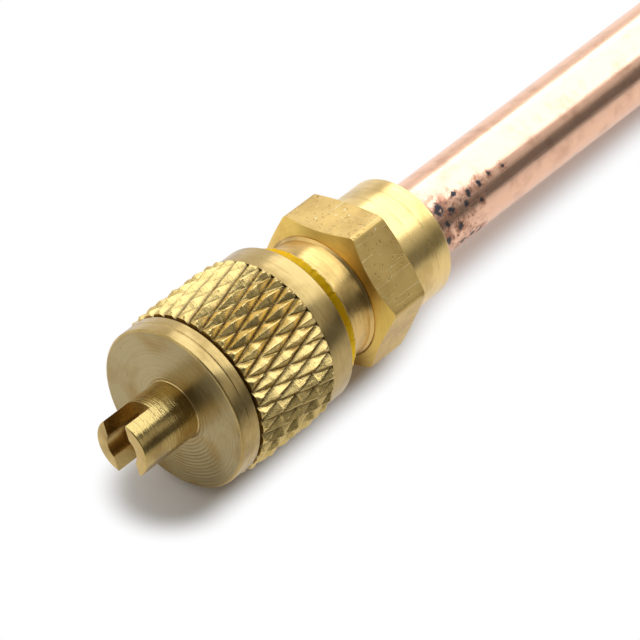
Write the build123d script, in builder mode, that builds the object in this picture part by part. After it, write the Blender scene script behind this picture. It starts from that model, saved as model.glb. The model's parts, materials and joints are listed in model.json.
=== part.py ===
"""Refrigerant service valve: a hexagon brass body on a copper stub, with its core and sealing cap.

Millimetres, +Z up. The valve lies on a flat table, touching it with the cap's knurl and with the
far end of the copper tube, so its axis leans slightly down towards the tube. Every piece is placed
by its station, the distance along the axis from the tip of the cap's stem towards the tube.
"""
from build123d import *
import math
import os

os.makedirs("parts", exist_ok=True)

# Cap
stem_radius = 2.3
stem_length = 5.35
stem_slot_width = 2.1
stem_slot_depth = 2.55
stem_drill_radius = 1.36
stem_drill_depth = 3.4
stem_slot_roll = 70.0
cap_radius = 6.35
cap_rear = 17.25
cap_floor = 7.0
cap_bore_clearance = 0.03
cap_edge = 0.12
cap_mouth_bevel = 0.35

# Diamond knurl round the cap
knurl_start = 7.45
knurl_end = 15.05
knurl_tip_radius = 6.72
knurl_root_radius = 6.38
knurl_teeth = 34
knurl_rows = 4

# Valve body
nose_radius = 11.11 / 2
nose_tip = 7.8
nose_tip_radius = 3.3
nose_shoulder = 9.3
nose_shoulder_radius = 4.8
nose_rear = 18.55
neck_radius = 4.75
neck_fillet = 0.3
hex_start = 21.6
hex_end = 25.5
hex_across_flats = 11.11
hex_corner_radius = 0.35
hex_bevel = 0.5
hex_roll = 18.3
socket_collar_radius = 4.9
socket_collar_rear = 30.1
collar_edge = 0.2

# Passage through the body
mouth_radius = 2.85
core_thread_start = 9.6
core_thread_radius = 2.66
seat_cone_start = 14.0
seat_cone_end = 15.2
passage_radius = 2.1
socket_floor = 24.1
braze_gap = 0.025

# Copper tube and its brazed joint
tube_radius = 3.175
tube_fitted_radius = 3.0
tube_bore_radius = 2.375
tube_end = 100.0
tube_end_edge = 0.15
braze_leg = 0.7

# Cap gasket
gasket_outer_radius = 5.3
gasket_inner_radius = 2.7

# Valve core
plug_clearance = 0.03
plug_start = 9.9
bridge_start = 8.6
bridge_width = 4.4
bridge_thickness = 1.8
bridge_bore_radius = 0.6
barrel_start = 13.7
barrel_end = 20.4
barrel_radius = 1.95
barrel_bore_radius = 1.55
barrel_bore_start = 14.5
barrel_lip_start = 19.4
swivel_neck_radius = 1.5
swivel_neck_length = 1.2
swivel_clearance = 0.03
flow_radius = 0.95
pin_radius = 0.55
pin_tip = 8.35
pin_end = 22.4
pin_collar_radius = 1.3
pin_collar_start = 14.7
pin_collar_length = 0.4
rivet_radius = 0.9
rivet_length = 0.4
cup_radius = 1.9
cup_start = 20.75
seal_radius = 1.75
seal_length = 0.6
seal_bore_radius = 0.57
spring_mean_radius = 1.15
spring_wire_radius = 0.17
spring_turns = 7

# The rest pose: the axis runs from the knurl's rear edge down to the tube's far end
lean = math.atan2(knurl_tip_radius - tube_radius, tube_end - knurl_end)
tip_height = knurl_tip_radius * math.cos(lean) + knurl_end * math.sin(lean)
low_x = -stem_radius * math.sin(lean)
high_x = tube_end * math.cos(lean) + tube_radius * math.sin(lean)
tip_point = Vector(-(low_x + high_x) / 2, 0, tip_height)
along = Vector(math.cos(lean), 0, -math.sin(lean))
upward = Vector(math.sin(lean), 0, math.cos(lean))

cross_plane = Plane(origin=tip_point, x_dir=upward, z_dir=along)
outline_plane = Plane(origin=tip_point, x_dir=along, z_dir=along.cross(upward))
valve_axis = Axis(tip_point, along)


def turned(points):
    """Return the face to turn about the axis, from its closed outline of (station, radius) points."""
    with BuildSketch(outline_plane) as outline:
        with BuildLine():
            Polyline(*points, close=True)
        make_face()
    return outline.sketch


def knurl_drum():
    """Return the knurled stretch as a solid of flat facets: pyramids between two sets of helical grooves."""
    half_pitch = math.pi / knurl_teeth
    row_step = (knurl_end - knurl_start) / knurl_rows

    def point(row, step, radius):
        station = knurl_start + row * row_step
        angle = math.pi + step * half_pitch
        return cross_plane.from_local_coords(
            Vector(radius * math.cos(angle), radius * math.sin(angle), station)
        )

    faces = []
    for row in range(knurl_rows + 1):
        for tooth in range(knurl_teeth):
            step = 2 * tooth + row % 2
            tip = point(row, step, knurl_tip_radius)
            left = point(row, step - 1, knurl_root_radius)
            right = point(row, step + 1, knurl_root_radius)
            for next_row in (row - 1, row + 1):
                if 0 <= next_row <= knurl_rows:
                    corner = point(next_row, step, knurl_root_radius)
                    faces.append(Face(Wire.make_polygon([tip, left, corner])))
                    faces.append(Face(Wire.make_polygon([tip, right, corner])))
    for row in (0, knurl_rows):
        rim = []
        for step in range(2 * knurl_teeth):
            radius = knurl_tip_radius if (step + row) % 2 == 0 else knurl_root_radius
            rim.append(point(row, step, radius))
        faces.append(Face(Wire.make_polygon(rim)))
    return Solid(Shell(faces))


drum = knurl_drum()

# Cap: one turned piece with a slotted core-removing stem on its face
with BuildPart() as cap:
    revolve(
        turned([
            (0, 0),
            (0, stem_radius),
            (stem_length, stem_radius),
            (stem_length, cap_radius - cap_edge),
            (stem_length + cap_edge, cap_radius),
            (knurl_start, cap_radius),
            (knurl_start, cap_radius - cap_edge),
            (knurl_end, cap_radius - cap_edge),
            (knurl_end, cap_radius),
            (cap_rear - cap_edge, cap_radius),
            (cap_rear, cap_radius - cap_edge),
            (cap_rear, 0),
        ]),
        axis=valve_axis,
    )
    add(drum)
    cap_bore_radius = nose_radius + cap_bore_clearance
    revolve(
        turned([
            (cap_floor, 0),
            (cap_floor, cap_bore_radius),
            (cap_rear - cap_mouth_bevel, cap_bore_radius),
            (cap_rear, cap_bore_radius + cap_mouth_bevel),
            (cap_rear, 0),
        ]),
        axis=valve_axis,
        mode=Mode.SUBTRACT,
    )
    with BuildSketch(cross_plane):
        Rectangle(stem_slot_width, 4 * stem_radius, rotation=stem_slot_roll - 90)
    extrude(amount=stem_slot_depth, mode=Mode.SUBTRACT)
    with BuildSketch(cross_plane):
        Circle(stem_drill_radius)
    extrude(amount=stem_drill_depth, mode=Mode.SUBTRACT)
cap.part.label = "cap"
export_step(cap.part, "parts/cap.step")

# Cap gasket: a flat ring between the cap's floor and the nose
with BuildPart() as cap_gasket:
    with BuildSketch(cross_plane.offset(cap_floor)):
        Circle(gasket_outer_radius)
        Circle(gasket_inner_radius, mode=Mode.SUBTRACT)
    extrude(amount=nose_tip - cap_floor)
cap_gasket.part.label = "cap_gasket"
export_step(cap_gasket.part, "parts/cap_gasket.step")

# Valve body: hexagon, threaded nose, neck and tube socket, turned from one bar
with BuildPart() as valve_body:
    with BuildSketch(cross_plane.offset(hex_start)) as hexagon:
        RegularPolygon(radius=hex_across_flats / 2, side_count=6, major_radius=False, rotation=hex_roll)
        fillet(hexagon.vertices(), radius=hex_corner_radius)
    extrude(amount=hex_end - hex_start)
    hex_corner = hex_across_flats / math.sqrt(3)
    revolve(
        turned([
            (hex_start, 0),
            (hex_start, hex_across_flats / 2 - hex_bevel / 4),
            (hex_start + hex_bevel, hex_corner),
            (hex_end - hex_bevel / 2, hex_corner),
            (hex_end, hex_across_flats / 2),
            (hex_end, 0),
        ]),
        axis=valve_axis,
        mode=Mode.INTERSECT,
    )
    revolve(
        turned([
            (nose_tip, 0),
            (nose_tip, nose_tip_radius),
            (nose_shoulder, nose_shoulder_radius),
            (nose_shoulder, nose_radius - 2 * collar_edge),
            (nose_shoulder + 2 * collar_edge, nose_radius),
            (nose_rear - collar_edge / 2, nose_radius),
            (nose_rear, nose_radius - collar_edge),
            (nose_rear, neck_radius),
            (hex_start - neck_fillet, neck_radius),
            (hex_start, neck_radius + neck_fillet),
            (hex_end, socket_collar_radius),
            (socket_collar_rear - collar_edge, socket_collar_radius),
            (socket_collar_rear, socket_collar_radius - collar_edge),
            (socket_collar_rear, 0),
        ]),
        axis=valve_axis,
    )
    revolve(
        turned([
            (nose_tip, 0),
            (nose_tip, mouth_radius),
            (core_thread_start, mouth_radius),
            (core_thread_start, core_thread_radius),
            (seat_cone_start, core_thread_radius),
            (seat_cone_end, passage_radius),
            (socket_floor, passage_radius),
            (socket_floor, tube_fitted_radius + braze_gap),
            (socket_collar_rear, tube_fitted_radius + braze_gap),
            (socket_collar_rear, 0),
        ]),
        axis=valve_axis,
        mode=Mode.SUBTRACT,
    )
valve_body.part.label = "valve_body"
export_step(valve_body.part, "parts/valve_body.step")

# Copper tube, seated on the socket's floor, sized down a little where the socket takes it
braze_end = socket_collar_rear + braze_leg
with BuildPart() as copper_tube:
    revolve(
        turned([
            (socket_floor, tube_bore_radius),
            (socket_floor, tube_fitted_radius),
            (braze_end, tube_fitted_radius),
            (braze_end, tube_radius),
            (tube_end - tube_end_edge, tube_radius),
            (tube_end, tube_radius - tube_end_edge),
            (tube_end, tube_bore_radius),
        ]),
        axis=valve_axis,
    )
copper_tube.part.label = "copper_tube"
export_step(copper_tube.part, "parts/copper_tube.step")

# Braze ring: the filler's fillet between the tube and the socket collar
with BuildPart() as braze_ring:
    revolve(
        turned([
            (socket_collar_rear, tube_fitted_radius),
            (socket_collar_rear, tube_radius + braze_leg),
            (socket_collar_rear + braze_leg / 3, tube_radius + braze_leg / 3),
            (braze_end, tube_radius),
            (braze_end, tube_fitted_radius),
        ]),
        axis=valve_axis,
    )
braze_ring.part.label = "braze_ring"
export_step(braze_ring.part, "parts/braze_ring.step")

# Core plug: the threaded head of the core, with a bridge for the removing fork
plug_end = barrel_start
with BuildPart() as core_plug:
    with BuildSketch(cross_plane.offset(bridge_start)):
        Rectangle(bridge_thickness, bridge_width, rotation=stem_slot_roll)
    extrude(amount=plug_start - bridge_start)
    with BuildSketch(cross_plane.offset(plug_start)):
        Circle(core_thread_radius - plug_clearance)
    extrude(amount=plug_end - plug_start)
    revolve(
        turned([
            (bridge_start, 0),
            (bridge_start, bridge_bore_radius),
            (plug_start, bridge_bore_radius),
            (plug_start, flow_radius),
            (plug_end - swivel_neck_length, flow_radius),
            (plug_end - swivel_neck_length, swivel_neck_radius + swivel_clearance),
            (plug_end, swivel_neck_radius + swivel_clearance),
            (plug_end, 0),
        ]),
        axis=valve_axis,
        mode=Mode.SUBTRACT,
    )
core_plug.part.label = "core_plug"
export_step(core_plug.part, "parts/core_plug.step")

# Core barrel: hangs from the plug on a swivel neck and carries the two seats
with BuildPart() as core_barrel:
    revolve(
        turned([
            (barrel_start - swivel_neck_length, flow_radius),
            (barrel_start - swivel_neck_length, swivel_neck_radius),
            (barrel_start, swivel_neck_radius),
            (barrel_start, barrel_radius),
            (barrel_end, barrel_radius),
            (barrel_end, flow_radius),
            (barrel_lip_start, flow_radius),
            (barrel_lip_start, barrel_bore_radius),
            (barrel_bore_start, barrel_bore_radius),
            (barrel_bore_start, flow_radius),
        ]),
        axis=valve_axis,
    )
core_barrel.part.label = "core_barrel"
export_step(core_barrel.part, "parts/core_barrel.step")

# Barrel washer: the soft cone that seals the barrel in the body's conical seat
seat_slope = (core_thread_radius - passage_radius) / (seat_cone_end - seat_cone_start)
washer_start = seat_cone_start + 0.1
washer_end = seat_cone_end - 0.1
with BuildPart() as core_washer:
    revolve(
        turned([
            (washer_start, barrel_radius),
            (washer_start, core_thread_radius - seat_slope * (washer_start - seat_cone_start)),
            (washer_end, passage_radius + seat_slope * (seat_cone_end - washer_end)),
            (washer_end, barrel_radius),
        ]),
        axis=valve_axis,
    )
core_washer.part.label = "core_washer"
export_step(core_washer.part, "parts/core_washer.step")

# Core pin: pressed by a gauge hose, it pushes the cup off the barrel's seat
with BuildPart() as core_pin:
    revolve(
        turned([
            (pin_tip, 0),
            (pin_tip, pin_radius),
            (pin_collar_start, pin_radius),
            (pin_collar_start, pin_collar_radius),
            (pin_collar_start + pin_collar_length, pin_collar_radius),
            (pin_collar_start + pin_collar_length, pin_radius),
            (pin_end - rivet_length, pin_radius),
            (pin_end - rivet_length, rivet_radius),
            (pin_end, rivet_radius),
            (pin_end, 0),
        ]),
        axis=valve_axis,
    )
core_pin.part.label = "core_pin"
export_step(core_pin.part, "parts/core_pin.step")

# Core cup: riveted to the pin, it holds the seat seal
cup_end = pin_end - rivet_length
seal_end = barrel_end + seal_length
with BuildPart() as core_cup:
    revolve(
        turned([
            (cup_start, seal_radius),
            (cup_start, cup_radius),
            (cup_end, cup_radius),
            (cup_end, pin_radius),
            (seal_end, pin_radius),
            (seal_end, seal_radius),
        ]),
        axis=valve_axis,
    )
core_cup.part.label = "core_cup"
export_step(core_cup.part, "parts/core_cup.step")

# Seat seal: the soft ring that closes the barrel
with BuildPart() as core_seal:
    with BuildSketch(cross_plane.offset(barrel_end)):
        Circle(seal_radius)
        Circle(seal_bore_radius, mode=Mode.SUBTRACT)
    extrude(amount=seal_length)
core_seal.part.label = "core_seal"
export_step(core_seal.part, "parts/core_seal.step")

# Core spring: stands between the pin's collar and the barrel's lip
spring_start = pin_collar_start + pin_collar_length + spring_wire_radius
spring_height = barrel_lip_start - spring_wire_radius - spring_start
spring_foot = tip_point + along * spring_start
with BuildPart() as core_spring:
    with BuildLine() as coil:
        Helix(
            pitch=spring_height / spring_turns,
            height=spring_height,
            radius=spring_mean_radius,
            center=spring_foot,
            direction=along,
        )
    with BuildSketch(Plane(origin=coil.line @ 0, z_dir=coil.line % 0)):
        Circle(spring_wire_radius)
    sweep(is_frenet=True)
core_spring.part.label = "core_spring"
export_step(core_spring.part, "parts/core_spring.step")
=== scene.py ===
"""Refrigerant service valve, dressed: knurled cap, hexagon brass body, copper stub and valve core.

Every piece is shaped in the valve's own millimetres, with x upwards, y sideways and z along the
axis from the tip of the cap's stem (its station), and is then placed in the shared frame.
"""

import json
import logging
import math
from dataclasses import dataclass, field
from enum import Enum, IntEnum
from typing import Callable, Iterable, Sequence

import bmesh
import bpy
from mathutils import Matrix, Vector, noise


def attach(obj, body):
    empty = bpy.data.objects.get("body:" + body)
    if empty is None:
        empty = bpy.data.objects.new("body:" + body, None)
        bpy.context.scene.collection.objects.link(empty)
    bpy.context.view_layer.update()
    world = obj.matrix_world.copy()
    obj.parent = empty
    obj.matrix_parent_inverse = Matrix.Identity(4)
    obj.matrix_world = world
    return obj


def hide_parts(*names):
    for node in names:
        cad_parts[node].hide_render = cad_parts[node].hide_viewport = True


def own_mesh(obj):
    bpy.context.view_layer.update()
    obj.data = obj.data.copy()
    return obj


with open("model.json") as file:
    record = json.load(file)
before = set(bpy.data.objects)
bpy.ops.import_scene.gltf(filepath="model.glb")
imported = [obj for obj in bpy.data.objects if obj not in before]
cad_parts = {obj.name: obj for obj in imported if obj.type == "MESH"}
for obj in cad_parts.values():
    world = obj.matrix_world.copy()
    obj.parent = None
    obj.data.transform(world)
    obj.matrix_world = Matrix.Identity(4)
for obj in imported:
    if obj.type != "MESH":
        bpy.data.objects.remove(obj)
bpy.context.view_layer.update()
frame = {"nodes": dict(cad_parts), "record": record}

MM = 0.001
THREAD_PITCH = 1.27
Colour = tuple[float, float, float]
Shell = bmesh.types.BMesh
Piece = bpy.types.Object
log = logging.getLogger("service_valve")


@dataclass(frozen=True)
class ValveAxis:
    """The valve's axis in the shared frame: the tip of the cap's stem and the way to the tube."""

    tip: Vector
    along: Vector

    @classmethod
    def from_record(cls, record: dict, port_station: float) -> "ValveAxis":
        """Read the axis from the part's record.

        Args:
            record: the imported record, whose mounts lie on the axis.
            port_station: station of the service port, in millimetres.

        Returns:
            The valve's axis.
        """
        mounts = {mount["name"]: mount for mount in record["mounts"]}
        along = Vector(mounts["tube_stub"]["axis"]).normalized()
        port = Vector(mounts["service_port"]["pos_m"])
        return cls(tip=port - along * (port_station * MM), along=along)

    @property
    def up(self) -> Vector:
        """Return the direction square to the axis that points most nearly upwards."""
        return (Vector((0, 0, 1)) - self.along * self.along.z).normalized()

    @property
    def turn(self) -> Matrix:
        """Return the rotation from the valve's own directions to the frame's."""
        return Matrix((self.up, self.along.cross(self.up), self.along)).transposed()

    @property
    def placement(self) -> Matrix:
        """Return the matrix from the valve's own millimetres to the frame's metres."""
        return Matrix.Translation(self.tip) @ self.turn.to_4x4() @ Matrix.Scale(MM, 4)

    def point(self, station: float) -> Vector:
        """Return the frame position of a station on the axis."""
        return self.tip + self.along * (station * MM)


AXIS = ValveAxis.from_record(frame["record"], port_station=7.8)


class Body(Enum):
    """The moving bodies that pieces ride on."""

    VALVE = "body"
    CAP = "cap"


class CapSkin(IntEnum):
    """The cap's finishes, in the order of its materials."""

    TURNED = 0
    KNURLED = 1
    FACE = 2
    STEM = 3


class BodySkin(IntEnum):
    """The body's finishes, in the order of its materials."""

    NECK = 0
    BAR = 1
    FLANK = 2
    COLLAR = 3
    CHAMFER = 4


# ---------------------------------------------------------------------------------- materials


class Field:
    """A number, colour or vector that varies over a surface: a socket of a material's graph."""

    def __init__(self, graph: "ShaderGraph", socket: bpy.types.NodeSocket) -> None:
        """Keep the socket together with its graph."""
        self.graph, self.socket = graph, socket

    def __add__(self, other: "Field | float") -> "Field":
        """Return the sum of the two."""
        return self.graph.math("ADD", self, other)

    def __sub__(self, other: "Field | float") -> "Field":
        """Return this less the other."""
        return self.graph.math("SUBTRACT", self, other)

    def __rsub__(self, other: float) -> "Field":
        """Return the other less this."""
        return self.graph.math("SUBTRACT", other, self)

    def __mul__(self, other: "Field | float") -> "Field":
        """Return the product of the two."""
        return self.graph.math("MULTIPLY", self, other)

    def __abs__(self) -> "Field":
        """Return the value without its sign."""
        return self.graph.math("ABSOLUTE", self)

    def root(self) -> "Field":
        """Return the square root."""
        return self.graph.math("SQRT", self)

    def most(self, other: "Field | float") -> "Field":
        """Return the larger of the two."""
        return self.graph.math("MAXIMUM", self, other)

    def fade(self, start: float, end: float) -> "Field":
        """Go smoothly from 0 to 1 as the value goes from start to end.

        Args:
            start: the value that gives 0.
            end: the value that gives 1, which may be the smaller of the two.

        Returns:
            The share from 0 to 1.
        """
        falls = start > end
        node = self.graph.add("ShaderNodeMapRange", {"interpolation_type": "SMOOTHSTEP"}, Value=self,
                              From_Min=min(start, end), From_Max=max(start, end),
                              To_Min=float(falls), To_Max=float(not falls))
        return Field(self.graph, node.outputs["Result"])


class ShaderGraph:
    """A material's node graph, with the valve's own coordinates at hand."""

    def __init__(self, name: str) -> None:
        """Start a material with one Principled shader.

        Args:
            name: the material's name.
        """
        self.material = bpy.data.materials.new(name)
        self.material.use_nodes = True
        self.nodes = self.material.node_tree.nodes
        self.shader = self.nodes["Principled BSDF"]
        coordinates = self.nodes.new("ShaderNodeTexCoord")
        mapping = self.add("ShaderNodeMapping", {"vector_type": "TEXTURE"},
                           Vector=coordinates.outputs["Object"], Location=AXIS.tip,
                           Rotation=AXIS.turn.to_euler(), Scale=(MM, MM, MM))
        self.place = Field(self, mapping.outputs[0])
        split = self.add("ShaderNodeSeparateXYZ", Vector=self.place)
        self.up, self.side, self.station = (Field(self, output) for output in split.outputs)
        self.radius = (self.up * self.up + self.side * self.side).root()
        self.roll = self.math("ARCTAN2", self.side, self.up)

    def add(self, kind: str, settings: dict | None = None, **inputs: object) -> bpy.types.Node:
        """Add a node.

        Args:
            kind: the node's type name.
            settings: properties to set on the node itself.
            inputs: values, fields or sockets for the node's named inputs.

        Returns:
            The new node.
        """
        node = self.nodes.new(kind)
        for key, value in (settings or {}).items():
            setattr(node, key, value)
        for key, value in inputs.items():
            self.feed(node.inputs[key.replace("_", " ")], value)
        return node

    def feed(self, socket: bpy.types.NodeSocket, value: object) -> None:
        """Link a field or a socket to the socket, or set a plain value on it.

        Args:
            socket: the socket to feed.
            value: the field, socket or plain value.
        """
        value = value.socket if isinstance(value, Field) else value
        if isinstance(value, bpy.types.NodeSocket):
            self.material.node_tree.links.new(value, socket)
        else:
            socket.default_value = value

    def math(self, operation: str, *values: Field | float) -> Field:
        """Add a Math node.

        Args:
            operation: the node's operation.
            values: its fields or numbers, in order.

        Returns:
            The result.
        """
        node = self.add("ShaderNodeMath", {"operation": operation})
        for socket, value in zip(node.inputs, values):
            self.feed(socket, value)
        return Field(self, node.outputs[0])

    def vector(self, x: Field | float, y: Field | float, z: Field | float) -> Field:
        """Return the vector made from three numbers."""
        return Field(self, self.add("ShaderNodeCombineXYZ", X=x, Y=y, Z=z).outputs[0])

    def noise(self, place: Field, scale: float, detail: float = 2.0, rough: float = 0.5) -> Field:
        """Add a noise pattern about 0.5.

        Args:
            place: the coordinates.
            scale: how many features fit in a unit.
            detail: octaves of finer noise.
            rough: strength of the finer octaves.

        Returns:
            The pattern.
        """
        node = self.add("ShaderNodeTexNoise", Vector=place, Scale=scale, Detail=detail,
                        Roughness=rough)
        return Field(self, node.outputs["Fac"])

    def mix(self, factor: Field, first: Field | Colour, second: Field | Colour) -> Field:
        """Blend two colours.

        Args:
            factor: 0 for the first colour alone, 1 for the second.
            first: the first colour.
            second: the second colour.

        Returns:
            The blended colour.
        """
        node = self.add("ShaderNodeMix", {"data_type": "RGBA"})
        self.feed(node.inputs[0], factor)
        for socket, value in ((node.inputs[6], first), (node.inputs[7], second)):
            self.feed(socket, (*value, 1.0) if isinstance(value, tuple) else value)
        return Field(self, node.outputs[2])

    def rings(self, pitch: float, arc: float) -> Field:
        """Return coordinates in which fine marks run round the axis, arc in radians."""
        return self.vector(self.radius * (1 / pitch), self.station * (1 / pitch), self.roll * (1 / arc))

    def drawn(self, across: float, along: float) -> Field:
        """Return coordinates scaled across and along the axis, for marks that run along it."""
        return self.vector(self.up * across, self.side * across, self.station * along)

    def bump(self, height: Field, depth: float) -> Field:
        """Return the normal that follows a height from 0 to 1, of a real depth in millimetres."""
        node = self.add("ShaderNodeBump", Height=height, Distance=depth * MM, Strength=1.0)
        return Field(self, node.outputs[0])

    def finish(self, colour: Field, rough: Field | float, normal: Field | None = None,
               **constants: float) -> bpy.types.Material:
        """Connect the shader.

        Args:
            colour: the base colour.
            rough: the roughness.
            normal: the normal.
            constants: plain values for the shader's other sockets.

        Returns:
            The finished material.
        """
        self.feed(self.shader.inputs["Base Color"], colour)
        self.feed(self.shader.inputs["Roughness"], rough)
        if normal is not None:
            self.feed(self.shader.inputs["Normal"], normal)
        for key, value in constants.items():
            self.shader.inputs[key.replace("_", " ")].default_value = value
        return self.material

    def groove_tangent(self) -> None:
        """Point the shader's tangent round the axis, along the marks of turning."""
        circle = self.vector(self.side * -1.0, self.up, 0.0)
        turned = self.add("ShaderNodeMapping", {"vector_type": "VECTOR"}, Vector=circle,
                          Rotation=AXIS.turn.to_euler())
        world = self.add("ShaderNodeVectorTransform",
                         {"vector_type": "VECTOR", "convert_from": "OBJECT", "convert_to": "WORLD"},
                         Vector=turned.outputs[0])
        self.feed(self.shader.inputs["Tangent"], world.outputs[0])


@dataclass(frozen=True)
class TurnedBrass:
    """Bright brass as it leaves the lathe, with marks that run round the axis."""

    name: str
    colour: Colour = (0.57, 0.40, 0.145)
    stain: Colour = (0.33, 0.21, 0.06)
    metallic: float = 1.0
    roughness: float = 0.30
    mark_pitch: float = 0.16
    mark_depth: float = 0.006
    mark_arc: float = 0.5
    coarse_share: float = 0.4
    feed_pitch: float = 0.0
    anisotropy: float = 0.55
    speck_share: float = 0.62
    scribed: Sequence[float] = ()

    def material(self) -> bpy.types.Material:
        """Lay turning marks, specks, stains and scribed lines over the brass.

        Returns:
            The finished material.
        """
        graph = ShaderGraph(self.name)
        coarse = graph.noise(graph.rings(self.mark_pitch * 2.6, self.mark_arc * 2), scale=1.0,
                             detail=2.0)
        fine = graph.noise(graph.rings(self.mark_pitch, self.mark_arc), scale=1.0, detail=3.0,
                           rough=0.6)
        specks = graph.noise(graph.rings(self.mark_pitch, self.mark_arc / 6), scale=1.4, detail=4.0,
                             rough=0.65)
        pitted = specks.fade(self.speck_share, self.speck_share + 0.1)
        patches = graph.noise(graph.place, scale=0.35, detail=3.0).fade(0.42, 0.75)
        tone = graph.mix(patches, self.colour, self.stain)
        tone = graph.mix(fine.fade(0.5, 0.75) * 0.35, tone, self.stain)
        tone = graph.mix(pitted * 0.5, tone, self.stain)
        rough = (fine - 0.5) * 0.25 + self.roughness
        height = fine * (1 - self.coarse_share) + coarse * self.coarse_share - pitted * 0.3
        if self.feed_pitch:
            wave = graph.math("SINE", (graph.radius + graph.station) * (math.tau / self.feed_pitch))
            height = height + wave * (coarse * 0.3)
        arcs = graph.noise(graph.rings(2.0, 0.6), scale=1.0, detail=1.0).fade(0.45, 0.55)
        for station in self.scribed:
            line = abs(graph.station - station).fade(0.07, 0.02) * arcs
            height = height - line * 3.0
            tone = graph.mix(line * 0.6, tone, self.stain)
        graph.groove_tangent()
        return graph.finish(tone, rough, graph.bump(height, self.mark_depth),
                            Metallic=self.metallic, Anisotropic=self.anisotropy,
                            Anisotropic_Rotation=0.25, Coat_Weight=0.25, Coat_Roughness=0.25)


@dataclass(frozen=True)
class KnurledBrass:
    """Brass pressed into a diamond knurl: bright facets, torn crests and valleys darkened by painted
    shade.
    """

    name: str
    colour: Colour = (0.72, 0.52, 0.18)
    valley_shade_and_grain: Colour = (0.10, 0.058, 0.015)
    roughness: float = 0.24
    bright_radius: float = 6.40
    root_radius: float = 6.15

    def material(self) -> bpy.types.Material:
        """Paint shade into the valleys and lay streaks and grain over the facets.

        Returns:
            The finished material.
        """
        graph = ShaderGraph(self.name)
        streaks = graph.noise(graph.vector(graph.radius * 8.0, graph.station * 2.0,
                                           graph.roll * 30.0), scale=1.0, detail=3.0, rough=0.6)
        grain = graph.noise(graph.place, scale=7.0, detail=4.0, rough=0.65)
        # Painted shade: below bright_radius the colour darkens towards the root radius, patchy with
        # grain.
        painted_valley_shade = graph.radius.fade(self.bright_radius, self.root_radius) * grain.fade(0.15, 0.5)
        tone = graph.mix(painted_valley_shade, self.colour, self.valley_shade_and_grain)
        tone = graph.mix(grain.fade(0.56, 0.7) * 0.5, tone, self.valley_shade_and_grain)
        rough = grain * 0.3 + (self.roughness - 0.1)
        height = grain * 0.5 + streaks * 0.5
        return graph.finish(tone, rough, graph.bump(height, 0.022), Metallic=1.0,
                            Coat_Weight=0.2, Coat_Roughness=0.25)


@dataclass(frozen=True)
class DrawnHexBrass:
    """The drawn flats of hexagon bar: a soft grain along the bar, pits and bright scratches."""

    name: str
    colour: Colour = (0.76, 0.52, 0.165)
    stain: Colour = (0.45, 0.27, 0.07)
    bright: Colour = (0.95, 0.85, 0.55)
    roughness: float = 0.48

    def material(self) -> bpy.types.Material:
        """Lay grain, pits, specks and scratches over the brass.

        Returns:
            The finished material.
        """
        graph = ShaderGraph(self.name)
        grain = graph.noise(graph.drawn(9.0, 0.5), scale=1.0, detail=3.0, rough=0.6)
        scratches = graph.noise(graph.drawn(11.0, 0.22), scale=1.0, detail=0.0).fade(0.715, 0.745)
        pits = graph.noise(graph.place, scale=3.6, detail=2.0, rough=0.6).fade(0.62, 0.68)
        specks = graph.noise(graph.place, scale=2.7, detail=3.0, rough=0.7).fade(0.67, 0.70)
        patches = graph.noise(graph.place, scale=0.5, detail=3.0).fade(0.35, 0.75)
        tone = graph.mix(patches * 0.5, self.colour, self.stain)
        tone = graph.mix(pits * 0.8, tone, self.stain)
        tone = graph.mix(specks.most(scratches * 0.35), tone, self.bright)
        rough = grain * 0.2 + (self.roughness - 0.1)
        height = grain * 0.5 - (pits + scratches)
        return graph.finish(tone, rough, graph.bump(height, 0.02), Metallic=1.0,
                            Coat_Weight=0.25, Coat_Roughness=0.35)


@dataclass(frozen=True)
class OxideSpot:
    """A dark spot of heat scale on the tube: its station, its roll in degrees and its size."""

    station: float
    roll: float
    size: float


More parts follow.
